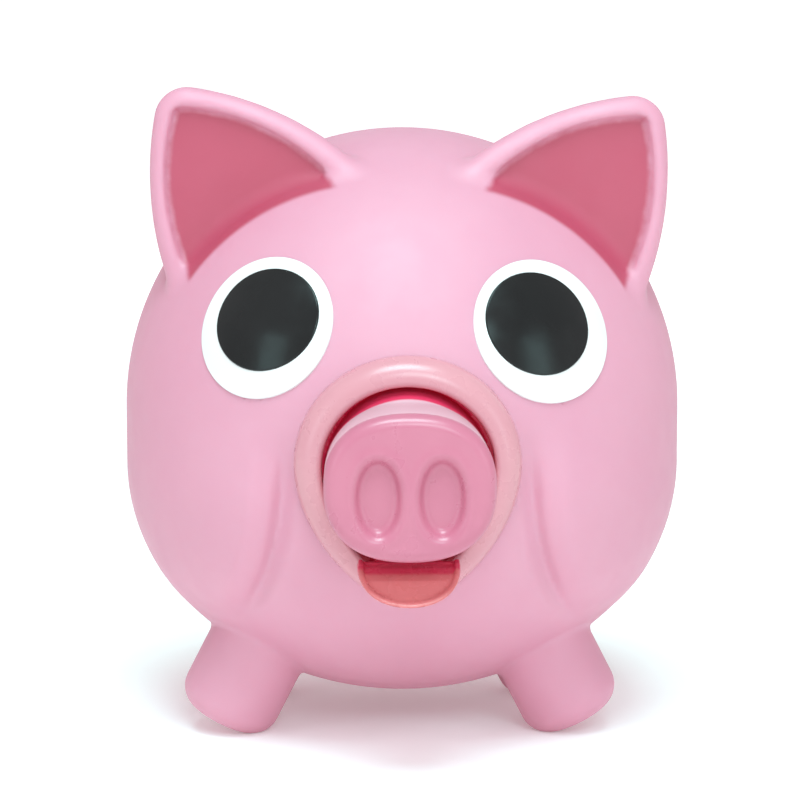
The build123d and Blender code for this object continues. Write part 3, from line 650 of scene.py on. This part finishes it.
def moulded(name, colour, shade, rough, spread=0.06, grain=900, depth=0.004, **sockets):
    """Moulded plastic or rubber: faint cloudy colour, uneven gloss and a very fine grain."""
    finish = Finish(name, **sockets)
    cloud = finish.noise(60, 3)
    finish.colour(finish.blend(finish.spread(cloud, 0.35, 0.65), colour, shade))
    finish.roughness(finish.spread(finish.noise(210, 4), 0.3, 0.7, rough - spread, rough + spread))
    finish.bump(finish.noise(grain, 2), depth)
    return finish


SPRAY_FUZZ, SPRAY_EDGE, SPRAY_BACK, SPRAY_FRONT = 1.2, (0.6, -1.6), (0.6, 1.6), (9.0, 7.0)


def leaning(v, side):
    """A place or direction on an ear, on one side of the head and with the ears' lean."""
    c, s = cos(EAR_LEAN), sin(EAR_LEAN)
    return np.array([side * v[0] * c + v[2] * s, v[1], -side * v[0] * s + v[2] * c])


def pink_vinyl():
    """Satin pink vinyl, sprayed deeper pink inside the ears."""
    finish = Finish("pink_vinyl", Subsurface_Weight=0.2, Subsurface_Scale=0.005, Specular_IOR_Level=0.8)
    finish.shader.inputs["Subsurface Radius"].default_value = (1.0, 0.45, 0.5)
    cloud = finish.noise(28, 4)
    pink = finish.blend(finish.spread(cloud, 0.3, 0.7), linear(214, 141, 162), linear(211, 136, 158))
    chord = np.hypot(DISH_HALF, DISH_HIGH)
    radius = (chord**2 / 4 + EAR_BULGE**2) / (2 * EAR_BULGE)
    outward = np.array([DISH_HIGH, DISH_HALF]) / chord
    cx, cy = np.array([DISH_HALF, DISH_HIGH]) / 2 - (radius - EAR_BULGE) * outward
    sprayed = None
    for side in (1, -1):
        root = leaning(EAR_ROOT, side)
        a, b, w = (finish.along(root, leaning(v, side)) for v in (EAR_ALONG, EAR_UP, EAR_OUT))
        arcs = []
        for mirrored in (1, -1):
            da = finish.maths("SUBTRACT", a, mirrored * cx)
            db = finish.maths("SUBTRACT", b, cy)
            square = finish.maths("ADD", finish.maths("MULTIPLY", da, da), finish.maths("MULTIPLY", db, db))
            arcs.append(finish.maths("SUBTRACT", finish.maths("SQRT", square), radius))
        edge = finish.maths("MAXIMUM", *arcs)
        fuzz = finish.maths("MULTIPLY", finish.maths("SUBTRACT", finish.noise(260, 3), 0.5), SPRAY_FUZZ)
        mask = finish.spread(finish.maths("ADD", edge, fuzz), *SPRAY_EDGE)
        front = finish.spread(w, *SPRAY_BACK)
        reach = finish.spread(w, *SPRAY_FRONT)
        mask = finish.maths("MULTIPLY", finish.maths("MULTIPLY", mask, front), reach)
        sprayed = mask if sprayed is None else finish.maths("MAXIMUM", sprayed, mask)
    patches = finish.spread(finish.noise(45, 3), 0.3, 0.7)
    deep = finish.blend(patches, linear(180, 60, 87), linear(176, 56, 83))
    finish.colour(finish.blend(sprayed, pink, deep))
    finish.roughness(finish.spread(finish.noise(120, 4), 0.3, 0.7, 0.54, 0.62))
    finish.bump(finish.noise(700, 3), 0.006)
    return finish


# Reaches behind which a skin is painted crimson shade instead of its own colour
SHADE_FADES = {"snout_barrel": (72.4, 73.4), "tongue": (79.2, 80.6)}  # where the front's colour starts


def shaded_towards_rear(node, finish, rear_shade, front):
    """Give the skin of a node a finish that changes colour at a reach: painted crimson shade behind it, its
    own colour in front.
    """
    forward = finish.along((0, 0, 0), (0, -1, 0))
    cloud = finish.spread(finish.noise(60, 3), 0.35, 0.65)
    tint = finish.blend(cloud, *front)
    finish.colour(finish.blend(finish.spread(forward, *SHADE_FADES[node]), rear_shade, tint))
    finish.on(skins[node])


pink_vinyl().on(vinyl)
white = moulded("eye_white", linear(234, 223, 223), linear(230, 219, 220), 0.16, 0.03)
white.on("eye_white_left", "eye_white_right")
black = moulded("pupil_black", linear(30, 27, 28), linear(24, 22, 23), 0.2, 0.04, Specular_IOR_Level=0.3)
black.on("pupil_left", "pupil_right")
collar_pink = moulded("collar_pink", linear(210, 139, 149), linear(208, 136, 147), 0.28, 0.02, depth=0.002)
collar_pink.on(skins["mouth_ring"])
# Crimson with a faint painted glow that lifts the shade in the mouth's gap; on the mouth cup the crimson is
# its own colour, on the sheet in the gap it is painted shade
crimson_shade_glow = moulded("mouth_crimson", linear(206, 44, 78), linear(192, 36, 68), 0.35,
                  Emission_Color=linear(200, 30, 66), Emission_Strength=0.3)
crimson_shade_glow.on("mouth_cup", mouth_shade_sheet)
PALE = linear(228, 176, 189), linear(225, 171, 185)
# The barrel's rear, hidden in the collar's gap, is painted crimson shade
shaded_towards_rear("snout_barrel", moulded("snout_pale", *PALE, 0.3, 0.02, depth=0.002), linear(222, 52, 90), PALE)
snout_deep = moulded("snout_deep", linear(198, 110, 132), linear(195, 106, 129), 0.3, 0.03)
snout_deep.on(skins["snout_face"])
# The tongue's root is painted crimson: a painted shadow of the snout falling on it
shaded_towards_rear("tongue", moulded("tongue_peach", linear(214, 108, 112), linear(208, 98, 104), 0.28, 0.05),
         linear(216, 56, 86), (linear(222, 114, 116), linear(217, 107, 110)))
acetal = moulded("white_acetal", linear(236, 235, 230), linear(228, 227, 222), 0.4)
acetal.on("plunger", "diaphragm_cap", "whistle_tube")
moulded("black_rubber", linear(42, 41, 42), linear(36, 35, 36), 0.6).on("diaphragm")
moulded("stopper_rubber", linear(214, 140, 164), linear(208, 132, 157), 0.55).on("stopper")
zinc = moulded("zinc_steel", linear(200, 201, 204), linear(188, 190, 194), 0.3, 0.08, Metallic=1.0)
zinc.on("housing_screws", "hinge_pins", "crank_pin")
wire = moulded("spring_steel", linear(176, 177, 180), linear(160, 161, 165), 0.28, 0.08, Metallic=1.0)
wire.on("return_spring", "eye_washers")
moulded("reed_brass", linear(214, 180, 110), linear(200, 166, 98), 0.3, 0.08, Metallic=1.0).on("whistle_reed")

# ---- floor, light and camera ----
FLOOR_HALF = 20.0
GLOW_FROM_TO, GLOW = (0.1, 1.3), (0.16, 0.5)  # over which distance the paper's glow grows, and how much


def studio_paper():
    """Pale paper that glows a little more far from the object, where the lamps don't reach it."""
    finish = moulded("studio_paper", linear(250, 250, 250), linear(248, 248, 248), 0.7,
                     Emission_Color=(1, 1, 1, 1))
    distance = finish.nodes.new("ShaderNodeVectorMath")
    distance.operation = "LENGTH"
    finish.link(finish.place, distance.inputs[0])
    glow = finish.spread(distance.outputs["Value"], *GLOW_FROM_TO, *GLOW)
    finish.link(glow, finish.shader.inputs["Emission Strength"])
    return finish


floor_mesh = bpy.data.meshes.new("floor")
floor_corners = [(x * FLOOR_HALF, y * FLOOR_HALF, 0) for x, y in ((-1, -1), (1, -1), (1, 1), (-1, 1))]
floor_mesh.from_pydata(floor_corners, [], [(0, 1, 2, 3)])
floor = bpy.data.objects.new("floor", floor_mesh)
bpy.context.scene.collection.objects.link(floor)
studio_paper().on(floor)

MIDDLE = Vector(CENTRE * MM)


COOL = (0.62, 1.0, 1.0)
# name, azimuth and elevation in degrees, distance and size in m, power in W
LAMPS = (
    ("top_front", -4, 66, 1.2, (0.6, 0.5), 13.0),
    ("front", 8, 30, 1.2, (0.4, 0.3), 3.8),
    ("front_left", -50, 12, 1.4, (0.4, 0.7), 1.8),
    ("front_right", 50, 12, 1.4, (0.4, 0.7), 1.8),
)


def softbox(name, azimuth, elevation, distance, size, power):
    """A large soft lamp that faces the body's centre."""
    light = bpy.data.lights.new(name, "AREA")
    light.shape, light.size, light.size_y = "RECTANGLE", size[0], size[1]
    light.energy, light.color = power, COOL
    lamp = bpy.data.objects.new(name, light)
    bpy.context.scene.collection.objects.link(lamp)
    a, e = radians(azimuth), radians(elevation)
    lamp.location = MIDDLE + distance * Vector((sin(a) * cos(e), -cos(a) * cos(e), sin(e)))
    lamp.rotation_euler = (MIDDLE - lamp.location).to_track_quat("-Z", "Y").to_euler()


for lamp in LAMPS:
    softbox(*lamp)

world = bpy.data.worlds.new("studio")
world.use_nodes = True
world.node_tree.nodes["Background"].inputs["Color"].default_value = (1.0, 1.0, 1.0, 1.0)
world.node_tree.nodes["Background"].inputs["Strength"].default_value = 0.6
bpy.context.scene.world = world
bpy.context.scene.view_settings.view_transform = "Standard"

VIEW_DISTANCE, VIEW_RISE, VIEW_TURN, FOCAL = 0.9, radians(8), radians(-1.2), 158.8
lens = bpy.data.cameras.new("camera")
lens.lens, lens.sensor_width = FOCAL, 36.0
lens.shift_x, lens.shift_y = -0.0025, 0.02125
lens.clip_start, lens.clip_end = 0.05, 60.0
camera = bpy.data.objects.new("camera", lens)
bpy.context.scene.collection.objects.link(camera)
eye_line = Vector((sin(VIEW_TURN) * cos(VIEW_RISE), -cos(VIEW_TURN) * cos(VIEW_RISE), sin(VIEW_RISE)))
camera.location = MIDDLE + VIEW_DISTANCE * eye_line
camera.rotation_euler = (-eye_line).to_track_quat("-Z", "Y").to_euler()
bpy.context.scene.camera = camera
